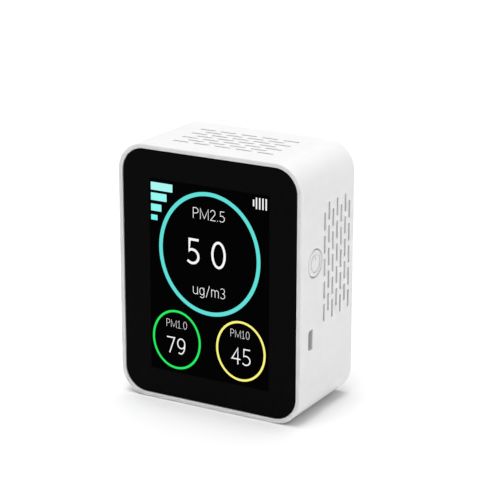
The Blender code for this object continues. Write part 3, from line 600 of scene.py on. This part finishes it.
def build_rear_cover():
    """Rear cover with a softened edge, countersunk holes and a shallow field for a label."""
    profile = softened([(COVER_LOW.y, 0.0, 0.0), (COVER_HIGH.y, 0.0, COVER_EDGE),
                        (COVER_HIGH.y, WALL, 0.0)])
    levels = []
    for y, inset in profile[:-1]:
        loop = outline((COVER_LOW.x + inset, COVER_LOW.z + inset),
                       (COVER_HIGH.x - inset, COVER_HIGH.z - inset), COVER_CORNER - inset)
        levels.append((y, loop))
    cover = loft("rear_cover_shell", TOWARDS_REAR, levels)
    tools = bmesh.new()
    for x in (-BOSS_X, BOSS_X):
        for z in COVER_BOSS_Z:
            pilot = oval(PILOT_RADIUS, PILOT_RADIUS, steps=SINK_STEPS)
            levels = [(-2 * WALL, pilot), (-SINK_DEPTH, pilot)]
            for height, growth in flared(SINK_DEPTH, SLOT_EDGE):
                radius = SINK_RADIUS + growth
                levels.append((height, oval(radius, radius, steps=SINK_STEPS)))
            add_loft(tools, axes((x, REAR, z), X, Z, Y), levels)
    levels = []
    for height, growth in flared(LABEL_DEPTH, LABEL_EDGE):
        low = (LABEL_LOW[0] - growth, LABEL_LOW[1] - growth)
        high = (LABEL_HIGH[0] + growth, LABEL_HIGH[1] + growth)
        levels.append((height, outline(low, high, LABEL_CORNER + growth, LABEL_CORNER_STEPS)))
    add_loft(tools, axes((0, REAR, 0), X, Z, Y), levels)
    boolean(cover, piece("cover_tools", tools))
    finished(cover, "case", COVER_WHITE)
    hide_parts("rear_cover")


def build_rear_screws():
    """Pan-head screws with a cross recess, heads towards the rear."""
    for number in range(1, 5):
        cad_name = f"rear_screw_{number}"
        low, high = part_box(cad_name)
        head = (high.x - low.x) / 2
        centre = ((low.x + high.x) / 2, 0.0, (low.z + high.z) / 2)
        neck = high.y - HEAD_HIGH
        profile = softened([(low.y, SHAFT_RADIUS * POINT_SHARE, 0.0),
                            (low.y + POINT_LENGTH, SHAFT_RADIUS, 0.0),
                            (neck, SHAFT_RADIUS, 0.0), (neck, head, 0.0),
                            (high.y, head, HEAD_ROUND), (high.y, 0.0, 0.0)])
        levels = [(y, oval(radius, radius, steps=SCREW_STEPS)) for y, radius in profile[:-1]]
        screw = loft(f"cover_screw_{number}", axes(centre, X, Z, Y), levels)
        for turn in (0.0, math.pi / 2):
            u = X * math.cos(turn) + Z * math.sin(turn)
            v = Z * math.cos(turn) - X * math.sin(turn)
            place = axes((centre[0], high.y, centre[2]), u, v, Y)
            loops = []
            for height, long, wide in CROSS_LEVELS:
                loop = outline((-long, -wide), (long, wide), CROSS_CORNER, CROSS_CORNER_STEPS)
                loops.append((height, loop))
            tool = bmesh.new()
            add_loft(tool, place, loops)
            boolean(screw, piece("cross_tool", tool))
        finished(screw, "case", STEEL)
        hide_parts(cad_name)


def build_button():
    """Round cap with its flange, and the power sign sunk into its face."""
    flange_in = BUTTON_LOW.x + FLANGE_RELIEF
    flange_out = BUTTON_LOW.x + FLANGE_THICK
    face = BUTTON_HIGH.x
    profile = softened([(flange_in, BUTTON_FLANGE, 0.0), (flange_out, BUTTON_FLANGE, 0.0),
                        (flange_out, BUTTON_RADIUS, 0.0),
                        (face, BUTTON_RADIUS, BUTTON_EDGE), (face, 0.0, 0.0)])
    levels = [(x, oval(radius, radius)) for x, radius in profile[:-1]]
    cap = loft("power_cap", axes((0, BUTTON_Y, BUTTON_Z), Y, Z, X), levels)
    centre = Vector((face + SYMBOL_LIFT, BUTTON_Y, BUTTON_Z))
    sweep = 2 * (math.pi - SYMBOL_OPEN)
    turns = [SYMBOL_OPEN + sweep * i / SYMBOL_STEPS for i in range(SYMBOL_STEPS + 1)]
    arc = [centre + SYMBOL_RADIUS * (Z * math.cos(t) + Y * math.sin(t)) for t in turns]
    bm = bmesh.new()
    add_tube(bm, arc, SYMBOL_TOOL)
    boolean(cap, piece("ring_tool", bm))
    bm = bmesh.new()
    add_tube(bm, [centre + Z * BAR_LOW, centre + Z * BAR_HIGH], SYMBOL_TOOL)
    boolean(cap, piece("bar_tool", bm))
    finished(cap, "button", BUTTON_WHITE, CAP_SHARP_ANGLE)
    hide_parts("power_button")


# ---------------------------------------------------------------- display picture

# The picture lies on the lens: u runs to the right and v up, from the middle of the face.
PICTURE_PLANE = axes((0, LENS_LOW.y, (BASE + TOP) / 2), X, Z, -Y)
SCREEN_BACK = -0.02 * MM
FIELD_THICK = 0.015 * MM
PICTURE_THICK = 0.03 * MM
FIELD_CORNER = 0.2 * MM
PLATE_CORNER = 0.05 * MM

LIGHT_COLORS = {
    "aqua": (0.117, 0.758, 0.687),
    "green": (0.020, 0.871, 0.120),
    "yellow": (1.0, 0.940, 0.215),
    "white": (0.97, 0.97, 0.97),
}

# Places on the picture, in millimetres.
FIELD_LOW, FIELD_HIGH = (-22.97, -34.03), (23.2, 33.65)

# Rings: name, light, centre u and v, half width and half height of the outer edge, stroke.
RINGS = (("ring_pm25", "aqua", 0.36, 10.16, 19.6, 21.5, 1.4),
         ("ring_pm1", "green", -12.65, -22.2, 9.55, 10.6, 0.78),
         ("ring_pm10", "yellow", 12.5, -21.77, 9.55, 10.65, 0.78))

# Level bars, all from one left edge: right edge, top, bottom, color.
BARS_LEFT = -22.27
BARS = ((-13.76, 32.34, 29.6, (0.4, 0.96, 0.9)),
        (-16.1, 28.65, 26.02, (0.32, 0.95, 0.91)),
        (-18.19, 24.77, 22.33, (0.27, 0.94, 0.88)),
        (-19.78, 20.99, 19.15, (0.19, 0.93, 0.88)))

# Battery sign: the middles of its cells, their half width, bottom and top, and the nub.
CELLS = (18.41, 19.62, 20.82, 22.03)
CELL_HALF = 0.25
CELL_BOTTOM, CELL_TOP = 28.57, 32.45
NUB_LOW, NUB_HIGH = (17.08, 29.37), (17.58, 31.66)

# Texts: name, letters, left, bottom, right, top, stroke.
TEXTS = (("label_pm25", "PM2.5", -5.8, 22.1, 6.44, 25.84, 0.22),
         ("value_tens", "5", -8.09, 5.83, -3.36, 14.94, 0.85),
         ("value_units", "0", 1.21, 5.73, 6.79, 15.24, 0.85),
         ("label_unit", "ug/m3", -6.0, -5.47, 6.49, -0.84, 0.2),
         ("label_pm1", "PM1.0", -16.65, -17.91, -8.54, -15.17, 0.13),
         ("value_pm1", "79", -16.55, -27.26, -9.24, -21.44, 0.42),
         ("label_pm10", "PM10", 8.58, -17.11, 15.89, -14.37, 0.13),
         ("value_pm10", "45", 8.92, -26.57, 16.29, -20.65, 0.42))


def plate(name, low, high, corner, material, thick=PICTURE_THICK):
    """A thin rounded rectangle on the display, between two corners in millimetres."""
    loop = outline([c * MM for c in low], [c * MM for c in high], corner, EDGE_STEPS)
    made = loft(name, PICTURE_PLANE, [(SCREEN_BACK, loop), (thick, loop)])
    return finished(made, "case", material)


def ring(name, centre, half_u, half_v, stroke, material):
    """A thin oval ring on the display; the halves are those of its outer edge."""
    outer = oval(half_u, half_v, centre, RING_STEPS)
    inner = oval(half_u - stroke, half_v - stroke, centre, RING_STEPS)
    levels = [(SCREEN_BACK, outer), (PICTURE_THICK, outer),
              (PICTURE_THICK, inner), (SCREEN_BACK, inner)]
    made = loft(name, PICTURE_PLANE, levels, ring=True)
    return finished(made, "case", material)


# Lines in a part of a letter's curve, and in one that closes on itself.
SWING_STEPS = 16
FULL_STEPS = 32


def swing(centre_u, centre_v, half_u, half_v, start, end, steps=SWING_STEPS):
    """Points along part of an ellipse, between two angles in degrees."""
    turns = [math.radians(start + (end - start) * i / steps) for i in range(steps + 1)]
    return [(centre_u + half_u * math.cos(t), centre_v + half_v * math.sin(t)) for t in turns]


# Line letters of our own: width, then strokes, with capitals one unit high.
GLYPHS = {
    "0": (0.56, [swing(0.28, 0.5, 0.28, 0.5, 0, 360, FULL_STEPS)]),
    "1": (0.46, [[(0.02, 0.8), (0.24, 1.0), (0.24, 0.0)], [(0.0, 0.0), (0.46, 0.0)]]),
    "2": (0.52, [swing(0.26, 0.73, 0.25, 0.27, 165, -35) + [(0.0, 0.0), (0.52, 0.0)]]),
    "3": (0.46, [swing(0.2, 0.75, 0.23, 0.25, 140, -90), swing(0.2, 0.25, 0.26, 0.25, 90, -140)]),
    "4": (0.58, [[(0.43, 0.0), (0.43, 1.0), (0.0, 0.3), (0.58, 0.3)]]),
    "5": (0.5, [[(0.46, 1.0), (0.06, 1.0), (0.04, 0.54)]
                + swing(0.19, 0.29, 0.31, 0.29, 118, -130)]),
    "7": (0.54, [[(0.0, 1.0), (0.54, 1.0), (0.17, 0.0)]]),
    "9": (0.54, [swing(0.27, 0.68, 0.27, 0.32, 0, 360, FULL_STEPS),
                 swing(0.22, 0.6, 0.32, 0.6, 8, -112)]),
    "P": (0.55, [[(0.0, 0.0), (0.0, 1.0)],
                 [(0.0, 1.0)] + swing(0.28, 0.74, 0.27, 0.26, 90, -90) + [(0.0, 0.48)]]),
    "M": (0.88, [[(0.0, 0.0), (0.0, 1.0), (0.44, 0.06), (0.88, 1.0), (0.88, 0.0)]]),
    ".": (0.04, [[(0.02, 0.0), (0.02, 0.03)]]),
    "/": (0.36, [[(0.0, -0.14), (0.36, 1.0)]]),
    "u": (0.48, [[(0.0, 0.72)] + swing(0.24, 0.25, 0.24, 0.25, 180, 360),
                 [(0.48, 0.72), (0.48, 0.0)]]),
    "g": (0.48, [swing(0.24, 0.36, 0.24, 0.35, 0, 360, FULL_STEPS),
                 [(0.48, 0.72)] + swing(0.25, -0.06, 0.23, 0.22, 0, -140)]),
    "m": (0.76, [[(0.0, 0.0), (0.0, 0.72)], swing(0.19, 0.5, 0.19, 0.21, 180, 0) + [(0.38, 0.0)],
                 swing(0.57, 0.5, 0.19, 0.21, 180, 0) + [(0.76, 0.0)]]),
}
LETTER_GAP = 0.24
UNIT_DESCENT = 0.28
# A stroke's corner reaches no further out than half its width over this.
MITRE_LIMIT = 0.5


def add_stroke(bm, points, half):
    """Adds a flat line of one width through points on the display; a closed one has no ends."""
    points = [Vector(p) for p in points]
    closed = (points[0] - points[-1]).length < FEATHER
    if closed:
        points.pop()
    else:
        points[0] += (points[0] - points[1]).normalized() * half
        points[-1] += (points[-1] - points[-2]).normalized() * half
    count = len(points)
    rows = []
    for i, point in enumerate(points):
        before = points[i - 1] if closed or i else 2 * point - points[1]
        after = points[(i + 1) % count] if closed or i < count - 1 else 2 * point - points[-2]
        first, last = (point - before).normalized(), (after - point).normalized()
        side = Vector((-(first + last).y, (first + last).x)).normalized()
        reach = side * half / max(MITRE_LIMIT, side.dot(Vector((-first.y, first.x))))
        corners = ((point + reach, SCREEN_BACK), (point + reach, PICTURE_THICK),
                   (point - reach, PICTURE_THICK), (point - reach, SCREEN_BACK))
        rows.append([bm.verts.new(PICTURE_PLANE @ Vector((*p, height))) for p, height in corners])
    add_skin(bm, rows, closed)


def lettering(name, text, low, high, stroke, material, descent=0.0):
    """Generic letters or digits on the display, fitted between two corners.

    Descent is how far the lowest letter reaches below the line, in heights of a capital.
    """
    total = sum(GLYPHS[char][0] for char in text) + LETTER_GAP * (len(text) - 1)
    scale_u = (high[0] - low[0] - stroke) / total
    scale_v = (high[1] - low[1] - stroke) / (1.0 + descent)
    start_u = low[0] + stroke / 2
    start_v = low[1] + stroke / 2 + descent * scale_v
    bm = bmesh.new()
    for char in text:
        width, lines = GLYPHS[char]
        for line in lines:
            placed = [(start_u + u * scale_u, start_v + v * scale_v) for u, v in line]
            add_stroke(bm, placed, stroke / 2)
        start_u += (width + LETTER_GAP) * scale_u
    return finished(piece(name, bm), "case", material)


def build_display():
    """What the screen shows: three read-outs in rings, level bars and a battery sign."""
    lights = {name: lit(f"{name}_light", color) for name, color in LIGHT_COLORS.items()}
    plate("screen_field", FIELD_LOW, FIELD_HIGH, FIELD_CORNER, SCREEN_BLACK, FIELD_THICK)
    for name, light, u, v, half_u, half_v, stroke in RINGS:
        ring(name, (u * MM, v * MM), half_u * MM, half_v * MM, stroke * MM, lights[light])
    for number, (right, top, bottom, color) in enumerate(BARS, 1):
        plate(f"level_bar_{number}", (BARS_LEFT, bottom), (right, top), PLATE_CORNER,
              lit(f"bar_light_{number}", color))
    for number, u in enumerate(CELLS, 1):
        plate(f"battery_cell_{number}", (u - CELL_HALF, CELL_BOTTOM), (u + CELL_HALF, CELL_TOP),
              PLATE_CORNER, lights["white"])
    plate("battery_nub", NUB_LOW, NUB_HIGH, PLATE_CORNER, lights["white"])
    for name, text, left, bottom, right, top, stroke in TEXTS:
        descent = UNIT_DESCENT if text[0] == "u" else 0.0
        lettering(name, text, (left * MM, bottom * MM), (right * MM, top * MM), stroke * MM,
                  lights["white"], descent)


# ---------------------------------------------------------------- floor, light and camera

FLOOR_HALF = 4.0
FLOOR_CELLS = 4

# Light from every side, and soft lights as (direction, narrowness, strength).
EVEN_LIGHT = 0.002
LOBES = (
    ((0.0, 0.0, 1.0), 64.0, 13.0),    # straight above
    ((0.0, -0.4, 1.0), 16.0, 3.8),    # above and a little in front
    ((1.0, 0.0, 0.0), 80.0, 13.5),    # level, from the right
    ((0.0, 1.0, 0.3), 3.0, 0.65),     # behind
    ((-1.0, 0.0, 1.4), 6.0, 0.9),     # upper left
    ((1.0, 0.0, 1.4), 6.0, 0.6),      # upper right
    ((-1.0, 1.0, 0.3), 3.0, 0.3),     # behind and to the left
)

# The camera looks at the middle of the part from this side, then moves right and up to frame it.
CAMERA_AZIMUTH = math.radians(30.0)
CAMERA_ELEVATION = math.radians(17.0)
CAMERA_DISTANCE = 0.66167
CAMERA_RIGHT = 1.181 * MM
CAMERA_UP = 9.819 * MM
LENS_LENGTH = 145.07
SENSOR_WIDTH = 36.0


def build_floor():
    """A plain pale floor under the part."""
    bm = bmesh.new()
    bmesh.ops.create_grid(bm, x_segments=FLOOR_CELLS, y_segments=FLOOR_CELLS, size=FLOOR_HALF)
    floor = piece("floor", bm)
    floor.location.z = BASE
    pale = surface("pale_floor", (0.90, 0.90, 0.90), (0.905, 0.905, 0.905), (0.85, 0.9),
                   300 * MM, 10 * MM, 0.01 * MM, Specular_IOR_Level=0.1)
    floor.data.materials.append(pale)


def maths(tree, operation, source, *values):
    """A Math node on a socket, with numbers on its other inputs."""
    made = tree.nodes.new("ShaderNodeMath")
    made.operation = operation
    tree.links.new(source, made.inputs[0])
    for place, value in enumerate(values, 1):
        made.inputs[place].default_value = value
    return made


def build_light():
    """A dome of soft lights, brightest above and to the right; the camera itself sees white."""
    world = bpy.data.worlds.new("studio")
    bpy.context.scene.world = world
    world.use_nodes = True
    tree = world.node_tree
    links = tree.links
    background = tree.nodes["Background"]
    direction = node(tree, "TexCoord").outputs["Generated"]
    total = None
    for axis, power, strength in LOBES:
        dot = tree.nodes.new("ShaderNodeVectorMath")
        dot.operation = "DOT_PRODUCT"
        dot.inputs[1].default_value = Vector(axis).normalized()
        links.new(direction, dot.inputs[0])
        facing = maths(tree, "MAXIMUM", dot.outputs["Value"], 0.0)
        raised = maths(tree, "POWER", facing.outputs[0], power)
        scaled = maths(tree, "MULTIPLY_ADD", raised.outputs[0], strength, EVEN_LIGHT)
        if total is not None:
            links.new(total, scaled.inputs[2])
        total = scaled.outputs[0]
    seen = node(tree, "LightPath").outputs["Is Camera Ray"]
    pale = tree.nodes.new("ShaderNodeMix")
    links.new(seen, pale.inputs["Factor"])
    links.new(total, pale.inputs["A"])
    pale.inputs["B"].default_value = 1.0
    links.new(pale.outputs["Result"], background.inputs["Strength"])
    background.inputs["Color"].default_value = (1.0, 1.0, 1.0, 1.0)


def build_camera():
    """The photograph's angle: from the right of the front and a little above."""
    level = math.cos(CAMERA_ELEVATION)
    back = Vector((math.sin(CAMERA_AZIMUTH) * level, -math.cos(CAMERA_AZIMUTH) * level,
                   math.sin(CAMERA_ELEVATION)))
    right = Vector((math.cos(CAMERA_AZIMUTH), math.sin(CAMERA_AZIMUTH), 0.0))
    up = back.cross(right)
    data = bpy.data.cameras.new("camera")
    data.lens = LENS_LENGTH
    data.sensor_width = SENSOR_WIDTH
    camera = bpy.data.objects.new("camera", data)
    bpy.context.scene.collection.objects.link(camera)
    middle = Vector((0.0, 0.0, (BASE + TOP) / 2))
    place = middle + back * CAMERA_DISTANCE + right * CAMERA_RIGHT + up * CAMERA_UP
    camera.matrix_world = axes(place, right, up, back)
    bpy.context.scene.camera = camera


build_housing()
build_lens()
build_rear_cover()
build_rear_screws()
build_button()
build_display()
build_floor()
build_light()
build_camera()
bpy.context.scene.view_settings.view_transform = "Standard"

bpy.context.view_layer.update()
